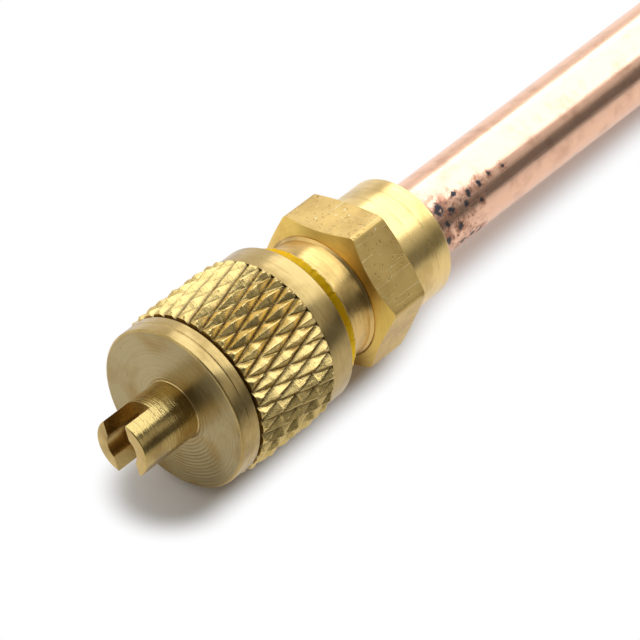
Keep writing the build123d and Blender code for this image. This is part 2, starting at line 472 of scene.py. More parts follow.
@dataclass(frozen=True)
class DrawnCopper:
    """Bright drawn copper with heat scale next to the brazed joint."""

    name: str
    tube_radius: float
    spots: Sequence[OxideSpot]
    joint_station: float = 30.1
    colour: Colour = (0.97, 0.59, 0.40)
    heated: Colour = (0.42, 0.18, 0.10)
    scale: Colour = (0.040, 0.034, 0.038)
    roughness: float = 0.21

    def closeness(self, graph: ShaderGraph) -> Field:
        """Find how close each point is to the nearest spot.

        Args:
            graph: the material's graph.

        Returns:
            1 in the middle of a spot, 0 at its ragged edge and less outside.
        """
        ragged = graph.noise(graph.place, scale=2.6, detail=4.0, rough=0.65) - 0.5
        closest: Field | float = -9.0
        for spot in self.spots:
            down = graph.station - spot.station
            round_way = (graph.roll - math.radians(spot.roll)) * self.tube_radius
            reach = (down * down + round_way * round_way).root()
            closest = (1.0 - (reach + ragged) * (1 / spot.size)).most(closest)
        return closest

    def material(self) -> bpy.types.Material:
        """Lay clouds, the heated patch and the oxide over the copper.

        Returns:
            The finished material.
        """
        graph = ShaderGraph(self.name)
        grain = graph.noise(graph.drawn(6.0, 0.25), scale=1.0, detail=3.0, rough=0.55)
        cloud = graph.noise(graph.place, scale=0.45, detail=4.0, rough=0.6)
        mottle = graph.noise(graph.place, scale=1.7, detail=5.0, rough=0.75)
        freckles = graph.noise(graph.place, scale=3.4, detail=3.0, rough=0.6).fade(0.58, 0.68)
        closest = self.closeness(graph)
        heat = graph.station.fade(self.joint_station + 8.0, self.joint_station + 1.5)
        heat = heat * graph.side.fade(0.9, 2.1)
        halo = closest.fade(-2.2, 0.1) * mottle.fade(0.40, 0.56)
        heated = halo.most(heat * mottle.fade(0.46, 0.60))
        cover = closest.fade(-0.1, 0.55) * mottle.fade(0.30, 0.42)
        cover = cover.most(heat * freckles * 0.8)
        tone = graph.mix(cloud.fade(0.45, 0.75) * 0.4, self.colour, self.heated)
        tone = graph.mix(heated * 0.85, tone, self.heated)
        tone = graph.mix(cover, tone, self.scale)
        rough = (grain - 0.5) * 0.12 + self.roughness + cover.most(heated) * 0.25
        material = graph.finish(tone, rough, graph.bump(grain * 0.5 + cloud * 0.5, 0.012))
        graph.feed(graph.shader.inputs["Metallic"], 1.0 - cover * 0.75)
        return material


@dataclass(frozen=True)
class PlainMetal:
    """A small metal part with a fine even grain."""

    name: str
    colour: Colour
    shade: Colour
    roughness: float = 0.3
    grain: float = 5.0

    def material(self) -> bpy.types.Material:
        """Lay the grain over the metal.

        Returns:
            The finished material.
        """
        graph = ShaderGraph(self.name)
        grain = graph.noise(graph.place, scale=self.grain, detail=4.0, rough=0.6)
        tone = graph.mix(grain.fade(0.4, 0.7), self.colour, self.shade)
        rough = grain * 0.2 + (self.roughness - 0.1)
        return graph.finish(tone, rough, graph.bump(grain, 0.01), Metallic=1.0)


@dataclass(frozen=True)
class SoftSeal:
    """Moulded rubber or plastic with a faint mottle."""

    name: str
    colour: Colour
    shade: Colour
    roughness: float = 0.55

    def material(self) -> bpy.types.Material:
        """Lay the mottle over the rubber.

        Returns:
            The finished material.
        """
        graph = ShaderGraph(self.name)
        mottle = graph.noise(graph.place, scale=3.0, detail=4.0, rough=0.6)
        tone = graph.mix(mottle, self.colour, self.shade)
        rough = mottle * 0.15 + (self.roughness - 0.07)
        return graph.finish(tone, rough, graph.bump(mottle, 0.01), Specular_IOR_Level=0.4)


@dataclass(frozen=True)
class PaleFloor:
    """Warm white paper that looks even white away from the valve.

    Its paint falls into shade past its front edge, where only the valve mirrors it. The valve's line
    runs from cap_face to tube_end; contact is how far from it the even white begins and is full, and
    past slender_part, where the line is the thin tube, that distance is scaled and shifted.
    """

    name: str = "studio_floor"
    colour: Colour = (0.86, 0.835, 0.80)
    shade: Colour = (0.10, 0.10, 0.10)
    contact: tuple[float, float] = (2.7, 5.8)
    front_edge: tuple[float, float] = (14.0, 90.0)
    mirrored_edge: tuple[float, float] = (30.0, -10.0)
    cap_face: float = 5.2
    tube_end: float = 100.1
    slender_part: tuple[float, float] = (22.0, 34.0)
    slender_scale: float = 0.88
    slender_shift: float = 2.5

    def material(self) -> bpy.types.Material:
        """Blend the paint with an even white, as the camera and the metal see it.

        Returns:
            The finished material.
        """
        graph = ShaderGraph(self.name)
        half = (self.tube_end - self.cap_face) / 2
        past_end = (abs(graph.station - (self.cap_face + half)) - half).most(0.0)
        reach = (graph.side * graph.side + past_end * past_end).root()
        slender = graph.station.fade(*self.slender_part)
        reach = reach * (slender * (self.slender_scale - 1) + 1.0) + slender * self.slender_shift
        tone = graph.mix(graph.side.fade(*self.front_edge), self.colour, self.shade)
        paint = graph.finish(tone, 1.0, Specular_IOR_Level=0.0)
        ray = graph.add("ShaderNodeLightPath")
        camera, glossy, through = (Field(graph, ray.outputs[f"Is {kind} Ray"])
                                   for kind in ("Camera", "Glossy", "Transmission"))
        seen = camera.most(glossy.most(through) * graph.side.fade(*self.mirrored_edge))
        white = graph.add("ShaderNodeEmission", Strength=1.0)
        blend = graph.add("ShaderNodeMixShader")
        graph.feed(blend.inputs[0], seen * reach.fade(*self.contact))
        graph.feed(blend.inputs[1], graph.shader.outputs[0])
        graph.feed(blend.inputs[2], white.outputs[0])
        graph.feed(graph.nodes["Material Output"].inputs["Surface"], blend.outputs[0])
        return paint


# ------------------------------------------------------------------------------------ meshes


def mesh_of(shell: Shell, name: str) -> bpy.types.Mesh:
    """Make a mesh of a shell.

    Args:
        shell: the shell, which is used up.
        name: the mesh's name.

    Returns:
        The mesh.
    """
    mesh = bpy.data.meshes.new(name)
    shell.to_mesh(mesh)
    shell.free()
    return mesh


def new_object(name: str, data: bpy.types.ID) -> Piece:
    """Put an object in the scene.

    Args:
        name: the object's name.
        data: its mesh, light or camera.

    Returns:
        The object.
    """
    item = bpy.data.objects.new(name, data)
    bpy.context.scene.collection.objects.link(item)
    return item


@dataclass(frozen=True)
class Corner:
    """A corner of a turned outline: its station, its radius and how far it is rounded."""

    station: float
    radius: float
    rounding: float = 0.0


class Lathe:
    """Makes closed shells round the valve's axis."""

    steps = 220
    arc_segments = 5

    @classmethod
    def outline(cls, corners: Sequence[Corner]) -> list[Vector]:
        """Round the corners of an outline.

        Args:
            corners: the outline's corners in order.

        Returns:
            The outline's points, x being the radius and z the station.
        """
        points = []
        for number, corner in enumerate(corners):
            here = Vector((corner.radius, 0, corner.station))
            if not corner.rounding:
                points.append(here)
                continue
            before, after = corners[number - 1], corners[(number + 1) % len(corners)]
            back = Vector((before.radius, 0, before.station)) - here
            on = Vector((after.radius, 0, after.station)) - here
            half = back.angle(on) / 2
            reach = min(corner.rounding / math.tan(half), back.length * 0.48, on.length * 0.48)
            start, end = here + back.normalized() * reach, here + on.normalized() * reach
            middle = here + (back.normalized() + on.normalized()).normalized() * reach / math.cos(half)
            sweep = (start - middle).angle(end - middle)
            for step in range(cls.arc_segments + 1):
                share = step / cls.arc_segments
                first = math.sin((1 - share) * sweep) / math.sin(sweep)
                second = math.sin(share * sweep) / math.sin(sweep)
                points.append(middle + (start - middle) * first + (end - middle) * second)
        return points

    @classmethod
    def spin(cls, points: Sequence[Vector], closed: bool = False) -> Shell:
        """Turn an outline once round the axis.

        Args:
            points: the outline's points.
            closed: whether the last point joins the first.

        Returns:
            The turned shell.
        """
        shell = bmesh.new()
        rim = [shell.verts.new(point) for point in points]
        pairs = zip(rim, rim[1:] + rim[:1] if closed else rim[1:])
        edges = [shell.edges.new(pair) for pair in pairs]
        bmesh.ops.spin(shell, geom=[*rim, *edges], cent=(0, 0, 0), axis=(0, 0, 1), dvec=(0, 0, 0),
                       angle=math.tau, steps=cls.steps, use_merge=True, use_duplicate=False)
        cls.close(shell)
        return shell

    @staticmethod
    def close(shell: Shell) -> None:
        """Merge the shell's doubles and turn its faces outwards."""
        bmesh.ops.remove_doubles(shell, verts=shell.verts, dist=1e-4)
        bmesh.ops.recalc_face_normals(shell, faces=shell.faces)

    @staticmethod
    def coil(points: Sequence[Vector], pitch: float, steps: int) -> Shell:
        """Turn an outline once round the axis while it moves on by one pitch.

        Args:
            points: the outline's points; neighbouring pitches repeat the same form.
            pitch: how far the outline moves on in the turn.
            steps: how many steps the turn has.

        Returns:
            The open helical skin.
        """
        skin = bmesh.new()
        rim = [skin.verts.new(point) for point in points]
        edges = [skin.edges.new(pair) for pair in zip(rim, rim[1:])]
        bmesh.ops.spin(skin, geom=[*rim, *edges], cent=(0, 0, 0), axis=(0, 0, 1),
                       dvec=(0, 0, pitch / steps), angle=math.tau, steps=steps, use_merge=False,
                       use_duplicate=False)
        bmesh.ops.remove_doubles(skin, verts=skin.verts, dist=1e-4)
        return skin


@dataclass(frozen=True)
class ScrewThread:
    """A right-handed thread as a closed sleeve, on the outside or the inside of a piece."""

    start: float
    end: float
    crest: float
    root: float
    wall: float
    pitch: float = THREAD_PITCH
    phase: float = 0.0
    lead: float = 0.6
    steps: int = 144

    def sleeve(self) -> Shell:
        """Coil the thread, cut it square at both ends, run it out there and close it on its wall.

        Returns:
            The closed threaded sleeve; wall is the radius of its plain side.
        """
        flat, flank = self.pitch * 0.16, self.pitch * 0.32
        turns = math.ceil((self.end - self.start) / self.pitch) + 2
        points = []
        for turn in range(turns + 1):
            base = self.start + (turn - 1) * self.pitch + self.phase
            points += [Vector((self.root, 0, base)), Vector((self.root, 0, base + flat * 1.25)),
                       Vector((self.crest, 0, base + flat * 1.25 + flank)),
                       Vector((self.crest, 0, base + flat * 2 + flank))]
        skin = Lathe.coil(points[:-3], self.pitch, self.steps)
        for station, side in ((self.start, -1), (self.end, 1)):
            bmesh.ops.bisect_plane(skin, geom=[*skin.verts, *skin.edges, *skin.faces], dist=1e-5,
                                   plane_co=(0, 0, station), plane_no=(0, 0, side), clear_outer=True)
        for vert in skin.verts:
            near = min(vert.co.z - self.start, self.end - vert.co.z)
            self.limit(vert, self.root + (self.crest - self.root) * min(1.0, near / self.lead))
        rims = []
        for station in (self.start, self.end):
            rim = [edge for edge in skin.edges if edge.is_boundary
                   and abs(edge.verts[0].co.z - station) < 0.02
                   and abs(edge.verts[1].co.z - station) < 0.02]
            fresh = bmesh.ops.extrude_edge_only(skin, edges=rim)["geom"]
            for vert in (item for item in fresh if isinstance(item, bmesh.types.BMVert)):
                self.at_radius(vert, self.wall)
            rims += [item for item in fresh if isinstance(item, bmesh.types.BMEdge)]
        ends = {vert for edge in rims for vert in edge.verts}
        ends = [edge for edge in skin.edges if edge.is_boundary and set(edge.verts) <= ends]
        bmesh.ops.bridge_loops(skin, edges=ends)
        Lathe.close(skin)
        return skin

    def limit(self, vert: bmesh.types.BMVert, radius: float) -> None:
        """Keep a vertex on the root's side of a radius.

        Args:
            vert: the vertex.
            radius: the radius.
        """
        now = math.hypot(vert.co.x, vert.co.y)
        if (now - radius) * (self.crest - self.root) > 0:
            self.at_radius(vert, radius)

    @staticmethod
    def at_radius(vert: bmesh.types.BMVert, radius: float) -> None:
        """Move a vertex straight in or out to a radius.

        Args:
            vert: the vertex.
            radius: the radius.
        """
        now = math.hypot(vert.co.x, vert.co.y)
        vert.co.x *= radius / now
        vert.co.y *= radius / now


class Bench:
    """Turns shells into finished pieces in the shared frame."""

    @staticmethod
    def carve(blank: Shell, tool: Shell, operation: str) -> Shell:
        """Combine two closed shells exactly.

        Args:
            blank: the shell to work on, which is used up.
            tool: the shell to work with, which is used up.
            operation: the Boolean modifier's operation.

        Returns:
            The resulting shell.
        """
        objects = [new_object("blank", mesh_of(shell, "blank")) for shell in (blank, tool)]
        cut = objects[0].modifiers.new("cut", "BOOLEAN")
        cut.object, cut.operation, cut.solver = objects[1], operation, "EXACT"
        graph = bpy.context.evaluated_depsgraph_get()
        result = bmesh.new()
        result.from_mesh(objects[0].evaluated_get(graph).to_mesh())
        for item in objects:
            bpy.data.meshes.remove(item.data)
        bmesh.ops.remove_doubles(result, verts=result.verts, dist=1e-4)
        return result

    @staticmethod
    def finish(shells: Iterable[Shell], name: str, materials: Iterable[bpy.types.Material],
               skin: Callable[[Vector, Vector], int] | None = None,
               crease: float = 32.0, flat_skins: Sequence[int] = ()) -> Piece:
        """Join shells into one piece in the frame, with materials, smooth faces and sharp creases.

        Args:
            shells: the shells, in the valve's own millimetres, which are used up.
            name: the piece's name.
            materials: its materials.
            skin: gives the number of the material for a face's centre and normal.
            crease: angle in degrees past which an edge stays sharp.
            flat_skins: numbers of the materials whose faces stay flat.

        Returns:
            The piece.
        """
        whole = bmesh.new()
        for shell in shells:
            part = mesh_of(shell, name)
            whole.from_mesh(part)
            bpy.data.meshes.remove(part)
        for face in whole.faces:
            face.material_index = skin(face.calc_center_median(), face.normal) if skin else 0
            face.smooth = face.material_index not in flat_skins
        for edge in whole.edges:
            edge.smooth = edge.calc_face_angle(0.0) < math.radians(crease)
        whole.transform(AXIS.placement)
        mesh = mesh_of(whole, name)
        for material in materials:
            mesh.materials.append(material)
        return new_object(name, mesh)


# ------------------------------------------------------------------------------------ pieces


@dataclass
class DiamondKnurl:
    """The band of pyramids pressed round the cap."""

    start: float = 7.45
    end: float = 15.05
    tip_radius: float = 6.72
    root_radius: float = 6.16
    inner_radius: float = 5.9
    teeth: int = 34
    rows: int = 4
    cuts: int = 7
    crest_flat: float = 0.93
    cross_groove_floor: float = 0.16
    end_radius: float = 6.42
    end_slope: float = 0.7
    drift: tuple[float, float] = (0.08, 0.05)
    tear: tuple[float, float] = (0.05, 0.02)

    def sheet(self) -> Shell:
        """Make the flat knurl's fine mesh.

        Returns:
            The sheet, whose x counts half teeth and whose y counts rows.
        """
        cells = 2 * self.teeth + self.rows + 8
        cells += cells % 2
        sheet = bmesh.new()
        bmesh.ops.create_grid(sheet, x_segments=cells, y_segments=cells, size=cells / math.sqrt(2))
        bmesh.ops.rotate(sheet, verts=sheet.verts, matrix=Matrix.Rotation(math.pi / 4, 3, "Z"))
        bmesh.ops.translate(sheet, verts=sheet.verts, vec=(self.teeth + 1, self.rows / 2, 0))
        centres = {face: face.calc_center_median() for face in sheet.faces}
        far = [face for face, centre in centres.items()
               if abs(centre.y - self.rows / 2) > self.rows / 2 + 2
               or abs(centre.x - self.teeth) > self.teeth + 2]
        bmesh.ops.delete(sheet, geom=far, context="FACES")
        bmesh.ops.poke(sheet, faces=sheet.faces)
        bmesh.ops.subdivide_edges(sheet, edges=sheet.edges, cuts=self.cuts, use_grid_fill=True)
        for plane, normal in (((0, 0, 0), (-1, 0, 0)), ((2 * self.teeth, 0, 0), (1, 0, 0)),
                              ((0, 0, 0), (0, -1, 0)), ((0, self.rows, 0), (0, 1, 0))):
            bmesh.ops.bisect_plane(sheet, geom=[*sheet.verts, *sheet.edges, *sheet.faces],
                                   dist=1e-5, plane_co=plane, plane_no=normal, clear_outer=True)
        return sheet

    def band(self) -> Shell:
        """Bend the knurl round the axis and close it on its inner side.

        Returns:
            The closed ring.
        """
        sheet = self.sheet()
        low = [edge for edge in sheet.edges if all(abs(vert.co.y) < 1e-4 for vert in edge.verts)]
        high = [edge for edge in sheet.edges
                if all(abs(vert.co.y - self.rows) < 1e-4 for vert in edge.verts)]
        inner = set()
        for rim in (low, high):
            fresh = bmesh.ops.extrude_edge_only(sheet, edges=rim)["geom"]
            inner |= {item for item in fresh if isinstance(item, bmesh.types.BMVert)}
        for vert in sheet.verts:
            self.bend(vert, vert in inner)
        bmesh.ops.remove_doubles(sheet, verts=sheet.verts, dist=1e-3)
        bmesh.ops.bridge_loops(sheet, edges=[edge for edge in sheet.edges if edge.is_boundary])
        Lathe.close(sheet)
        return sheet

    def height(self, across: float, on: float) -> float:
        """Find the height of the pyramids between the deep and the shallow grooves.

        Args:
            across: place round the band, in half teeth.
            on: place along the band, in rows.

        Returns:
            The height from 0 to 1.
        """
        deep = 1 - abs((across + on + 1) % 2 - 1)
        shallow = 1 - abs((across - on + 1) % 2 - 1)
        floor = self.cross_groove_floor
        return min(deep, floor + (1 - floor) * shallow, self.crest_flat)

    def bend(self, vert: bmesh.types.BMVert, inner: bool) -> None:
        """Move a vertex of the flat sheet to its place round the axis.

        Args:
            vert: the vertex.
            inner: whether it belongs to the ring's inner edge.
        """
        roll = vert.co.x * math.pi / self.teeth
        station = self.start + vert.co.y * (self.end - self.start) / self.rows
        wrapped = Vector((math.cos(roll), math.sin(roll), 0)) * self.tip_radius
        spot = wrapped + Vector((0, 0, station))
        across = vert.co.x + noise.noise(spot * 0.9) * self.drift[0]
        on = vert.co.y + noise.noise(spot * 0.9 + Vector((9, 0, 0))) * self.drift[1]
        height = self.height(across, on)
        tear = noise.noise(spot * 2.3) * self.tear[0] + noise.noise(spot * 6.1) * self.tear[1]
        height = max(0.0, height + tear * (0.3 + 0.7 * height))
        radius = self.root_radius + min(height, 1.0) * (self.tip_radius - self.root_radius)
        near = min(station - self.start, self.end - station)
        radius = min(radius, self.end_radius + near * self.end_slope + tear * 0.4)
        radius = self.inner_radius if inner else radius
        vert.co = (radius * math.cos(roll), radius * math.sin(roll), station)


@dataclass
class ServiceCap:
    """The screw cap: a turned shell with a knurled band and a slotted stem on its face."""

    stem_radius: float = 2.29
    stem_length: float = 5.35
    drill_radius: float = 1.36
    drill_depth: float = 3.3
    slot_width: float = 2.12
    slot_depth: float = 2.55
    slot_roll: float = 70.0
    band_radius: float = 6.35
    band_groove: float = 6.33
    band_end: float = 7.17
    rear_band_start: float = 15.12
    rear_band_radius: float = 6.31
    rear: float = 17.25
    floor: float = 7.0
    bore_radius: float = 5.62
    thread_start: float = 9.0
    thread_end: float = 16.8
    thread_minor_radius: float = 5.08
    recess_radius: float = 6.02
    knurl: DiamondKnurl = field(default_factory=DiamondKnurl)

    def corners(self) -> list[Corner]:
        """List the corners of everything turned.

        Returns:
            The corners from the bottom of the drilled hole, over the outside, to the cap's floor.
        """
        band, rear_band = self.band_radius, self.rear_band_radius
        return [
            Corner(self.drill_depth + 0.55, 0.0),
            Corner(self.drill_depth, self.drill_radius, 0.05),
            Corner(0.0, self.drill_radius, 0.05),
            Corner(0.0, self.stem_radius, 0.10),
            Corner(self.stem_length - 0.05, self.stem_radius, 0.05),
            Corner(self.stem_length + 0.03, self.stem_radius + 0.07, 0.03),
            Corner(self.stem_length - 0.01, self.stem_radius + 0.16, 0.03),
            Corner(self.stem_length, band, 0.16),
            Corner(self.band_groove - 0.05, band, 0.03),
            Corner(self.band_groove, band - 0.05, 0.02),
            Corner(self.band_groove + 0.05, band, 0.03),
            Corner(self.band_end, band, 0.06),
            Corner(self.band_end + 0.06, self.recess_radius, 0.05),
            Corner(self.rear_band_start - 0.04, self.recess_radius, 0.03),
            Corner(self.rear_band_start, rear_band, 0.06),
            Corner(self.rear, rear_band, 0.12),
            Corner(self.rear, self.bore_radius + 0.30, 0.06),
            Corner(self.rear - 0.35, self.bore_radius, 0.04),
            Corner(self.floor, self.bore_radius, 0.10),
            Corner(self.floor, 0.0),
        ]

    def slot_cutter(self) -> Shell:
        """Make the shape that the milling cutter takes out of the stem.

        Returns:
            The closed shape.
        """
        cutter = bmesh.new()
        bmesh.ops.create_cube(cutter, size=1.0)
        reach = 4 * self.stem_radius
        bmesh.ops.scale(cutter, verts=cutter.verts,
                        vec=(reach, self.slot_width, 2 * self.slot_depth))
        bmesh.ops.rotate(cutter, verts=cutter.verts,
                         matrix=Matrix.Rotation(math.radians(self.slot_roll + 90), 3, "Z"))
        return cutter

    def build(self) -> Piece:
        """Build the cap, dress it and put it on its body.

        Returns:
            The finished piece.
        """
        turned = Lathe.spin(Lathe.outline(self.corners()))
        turned = Bench.carve(turned, self.slot_cutter(), "DIFFERENCE")
        thread = ScrewThread(start=self.thread_start, end=self.thread_end,
                             crest=self.thread_minor_radius, root=self.bore_radius - 0.01,
                             wall=self.bore_radius + 0.2, phase=THREAD_PITCH / 2)
        skins = [TurnedBrass("cap_turned_brass").material(),
                 KnurledBrass("cap_knurled_brass").material(),
                 # The face's turning marks are its own; its colour, darker than the cap's turned brass,
                 # is painted shade.
                 TurnedBrass("cap_face_brass_painted_shade", colour=(0.40, 0.31, 0.145), roughness=0.33,
                             mark_pitch=0.13, mark_depth=0.045, mark_arc=1.4, coarse_share=0.5,
                             feed_pitch=0.27, anisotropy=0.93).material(),
                 TurnedBrass("cap_stem_brass", colour=(0.60, 0.43, 0.145), roughness=0.22,
                             mark_pitch=0.11, mark_depth=0.045, mark_arc=0.7, coarse_share=0.7,
                             anisotropy=0.4).material()]
        piece = Bench.finish([turned, thread.sleeve(), self.knurl.band()], "service_cap", skins,
                             self.skin, flat_skins=(CapSkin.KNURLED,))
        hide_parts("cap")
        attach(piece, Body.CAP.value)
        return piece

    def skin(self, centre: Vector, normal: Vector) -> CapSkin:
        """Choose the finish of a face.

        Args:
            centre: the face's centre.
            normal: the face's normal; not used.

        Returns:
            The finish.
        """
        radius = math.hypot(centre.x, centre.y)
        if centre.z < self.stem_length - 0.1 and radius > self.stem_radius - 0.1:
            return CapSkin.STEM
        beside_knurl = self.knurl.start - 0.1 < centre.z < self.knurl.end + 0.1
        if beside_knurl and radius > self.recess_radius + 0.02:
            return CapSkin.KNURLED
        on_face = abs(centre.z - self.stem_length) < 0.2
        if on_face and self.stem_radius + 0.05 < radius < self.band_radius - 0.15:
            return CapSkin.FACE
        return CapSkin.TURNED


@dataclass
class ValveBody:
    """The brass body: threaded nose, neck, hexagon and the collar that takes the tube."""

    nose_tip: float = 7.8
    nose_shoulder: float = 9.3
    nose_rear: float = 18.53
    thread_end: float = 17.93
    last_flank: tuple[float, float] = (17.97, 18.42)
    thread_radius: float = 5.55
    thread_root_radius: float = 4.88
    neck_radius: float = 4.75
    hex_start: float = 21.6
    hex_end: float = 25.5
    hex_across_flats: float = 11.11
    hex_bore_radius: float = 4.3
    hex_corner_radius: float = 0.45
    hex_roll: float = 18.3
    collar_radius: float = 4.9
    collar_rear: float = 30.1
    socket_floor: float = 24.1
    socket_radius: float = 3.02
    passage_radius: float = 2.1
    core_seat: tuple[float, float] = (14.0, 15.2)
    core_thread_start: float = 9.6
    core_thread_radius: float = 2.66
    mouth_radius: float = 2.85

    def corners(self) -> list[Corner]:
        """List the corners of everything turned.

        Returns:
            The corners of the outside, then of the socket and the passage back to the nose's tip.
        """
        neck, root = self.neck_radius, self.thread_root_radius
        return [
            Corner(self.nose_tip, self.mouth_radius, 0.05),
            Corner(self.nose_tip, self.mouth_radius + 0.40, 0.10),
            Corner(self.nose_shoulder, root - 0.06, 0.10),
            Corner(self.thread_end, root - 0.06, 0.05),
            Corner(self.last_flank[0], root + 0.32, 0.02),
            Corner(self.last_flank[1], self.thread_radius + 0.01, 0.01),
            Corner(self.nose_rear, self.thread_radius - 0.03, 0.03),
            Corner(self.nose_rear + 0.02, neck, 0.10),
            Corner(self.hex_start - 0.52, neck, 0.16),
            Corner(self.hex_start - 0.27, neck + 0.16, 0.05),
            Corner(self.hex_start + 0.6, neck + 0.24),
            Corner(self.hex_end - 0.6, self.collar_radius),
            Corner(self.collar_rear, self.collar_radius, 0.14),
            Corner(self.collar_rear, self.socket_radius, 0.05),
            Corner(self.socket_floor, self.socket_radius),
            Corner(self.socket_floor, self.passage_radius),
            Corner(self.core_seat[1], self.passage_radius),
            Corner(self.core_seat[0], self.core_thread_radius),
            Corner(self.core_thread_start, self.core_thread_radius),
            Corner(self.core_thread_start, self.mouth_radius),
        ]

    def burr(self, shell: Shell) -> None:
        """Leave the small torn burr where the last thread runs out into the neck.

        Args:
            shell: the turned shell.
        """
        for vert in shell.verts:
            radius = math.hypot(vert.co.x, vert.co.y)
            on_rim = self.last_flank[1] - 0.04 < vert.co.z < self.nose_rear + 0.03
            if on_rim and radius > self.thread_radius - 0.15:
                roll = math.atan2(vert.co.y, vert.co.x)
                spot = Vector((math.cos(roll), math.sin(roll), 0)) * 14
                vert.co.z += noise.noise(spot * 1.3) * 0.04 + noise.noise(spot * 4.1) * 0.12

    def hexagon(self) -> Shell:
        """Make the hexagon with its rounded corners and turned chamfers.

        Returns:
            The closed ring that sits round the body.
        """
        bar = bmesh.new()
        corner = self.hex_across_flats / math.sqrt(3)
        bmesh.ops.create_cone(bar, cap_ends=True, cap_tris=False, segments=6, radius1=corner,
                              radius2=corner, depth=self.hex_end - self.hex_start + 2)
        now = next(iter(bar.verts)).co
        turn = math.radians(self.hex_roll) - math.atan2(now.y, now.x)
        bmesh.ops.rotate(bar, verts=bar.verts, matrix=Matrix.Rotation(turn, 3, "Z"))
        bmesh.ops.translate(bar, verts=bar.verts, vec=(0, 0, (self.hex_start + self.hex_end) / 2))
        long_edges = [edge for edge in bar.edges if abs(edge.verts[0].co.z - edge.verts[1].co.z) > 1]
        bmesh.ops.bevel(bar, geom=long_edges, offset=self.hex_corner_radius * math.tan(math.pi / 6),
                        offset_type="OFFSET", affect="EDGES", segments=5, profile=0.5, material=-1)
        flat = self.hex_across_flats / 2
        barrel = Lathe.outline([
            Corner(self.hex_start - 0.29, self.hex_bore_radius),
            Corner(self.hex_start - 0.29, flat - 0.54, 0.02),
            Corner(self.hex_start + 0.49, corner + 0.05),
            Corner(self.hex_end - 0.22, corner + 0.05),
            Corner(self.hex_end, flat + 0.12, 0.02),
            Corner(self.hex_end, self.hex_bore_radius)])
        return Bench.carve(Lathe.spin(barrel, closed=True), bar, "INTERSECT")

    def skin(self, centre: Vector, normal: Vector) -> BodySkin:
        """Choose the finish of a face.

        Args:
            centre: the face's centre.
            normal: the face's normal.

        Returns:
            The finish.
        """
        station, radius = centre.z, math.hypot(centre.x, centre.y)
        tilted = abs(normal.z) > 0.2 and radius > self.neck_radius + 0.20
        if tilted and self.hex_start - 0.4 < station < self.hex_end + 0.1:
            return BodySkin.CHAMFER
        if self.last_flank[0] - 0.07 < station < self.last_flank[1] and normal.z < -0.3:
            return BodySkin.FLANK
        if station > self.hex_end - 0.3 and radius > self.socket_radius + 0.1:
            return BodySkin.COLLAR
        on_bar = self.hex_start < station < self.hex_end and radius > self.hex_across_flats / 2 - 0.25
        return BodySkin.BAR if on_bar and abs(normal.z) < 0.05 else BodySkin.NECK

    def build(self) -> Piece:
        """Build the body, dress it and put it in place.

        Returns:
            The finished piece.
        """
        turned = Lathe.spin(Lathe.outline(self.corners()), closed=True)
        self.burr(turned)
        thread = ScrewThread(start=self.nose_shoulder - 0.05, end=self.thread_end - 0.03,
                             crest=self.thread_radius, root=self.thread_root_radius,
                             wall=self.thread_root_radius - 0.3)
        skins = [TurnedBrass("neck_turned_brass", colour=(0.80, 0.53, 0.17), roughness=0.30,
                             mark_depth=0.004, speck_share=0.72).material(),
                 DrawnHexBrass("body_bar_brass").material(),
                 # The last thread flank is brass whose bright, saturated yellow is a painted reflection
                 # of the brass around it.
                 TurnedBrass("thread_flank_painted_reflection", colour=(1.0, 0.66, 0.0), stain=(1.0, 0.52, 0.0),
                             metallic=0.8, roughness=0.5, anisotropy=0.0).material(),
                 TurnedBrass("collar_turned_brass", colour=(0.94, 0.67, 0.25),
                             stain=(0.64, 0.43, 0.13), mark_depth=0.004, speck_share=0.74,
                             scribed=(27.3, 28.65)).material(),
                 TurnedBrass("chamfer_brass", colour=(0.84, 0.57, 0.13), stain=(0.60, 0.36, 0.06),
                             roughness=0.36, mark_depth=0.004).material()]
        piece = Bench.finish([turned, thread.sleeve(), self.hexagon()], "valve_body_brass", skins,
                             self.skin, crease=25.0)
        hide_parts("valve_body")
        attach(piece, Body.VALVE.value)
        return piece


@dataclass
class CopperStub:
    """The copper tube stub, with the rolled-in mark of the pipe cutter at its open end."""

    start: float = 24.1
    end: float = 100.0
    radius: float = 3.175
    socket_radius: float = 3.0
    bore_radius: float = 2.375
    joint_end: float = 30.8
    spots: Sequence[OxideSpot] = (
        OxideSpot(32.1, 39, 0.62), OxideSpot(32.0, 84, 0.42), OxideSpot(33.9, 107, 0.36),
        OxideSpot(35.0, 104, 0.30), OxideSpot(36.0, 110, 0.32), OxideSpot(36.2, 63, 0.24),
        OxideSpot(35.3, 45, 0.30), OxideSpot(34.1, 34, 0.28), OxideSpot(32.2, 60, 0.34),
        OxideSpot(33.1, 50, 0.40), OxideSpot(34.6, 55, 0.34), OxideSpot(36.6, 42, 0.30),
        OxideSpot(37.9, 40, 0.22), OxideSpot(33.4, 75, 0.36), OxideSpot(39.4, 43, 0.20),
    )

    def corners(self) -> list[Corner]:
        """List the tube's corners, with a plain ring every few millimetres of its length.

        Returns:
            The corners of the outside, then of the bore.
        """
        return [
            Corner(self.start, self.bore_radius, 0.05),
            Corner(self.start, self.socket_radius, 0.05),
            Corner(self.joint_end - 0.05, self.socket_radius),
            Corner(self.joint_end, self.radius),
            *[Corner(self.joint_end + step, self.radius) for step in range(6, 66, 6)],
            Corner(self.end - 1.0, self.radius, 0.4),
            Corner(self.end, self.radius - 0.14, 0.12),
            Corner(self.end, self.bore_radius, 0.06),
        ]

    def build(self) -> Piece:
        """Build the tube, dress it and put it in place.

        Returns:
            The finished piece.
        """
        shell = Lathe.spin(Lathe.outline(self.corners()), closed=True)
        finish = DrawnCopper("drawn_copper", tube_radius=self.radius, spots=self.spots)
        piece = Bench.finish([shell], "copper_stub", [finish.material()])
        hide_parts("copper_tube")
        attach(piece, Body.VALVE.value)
        return piece


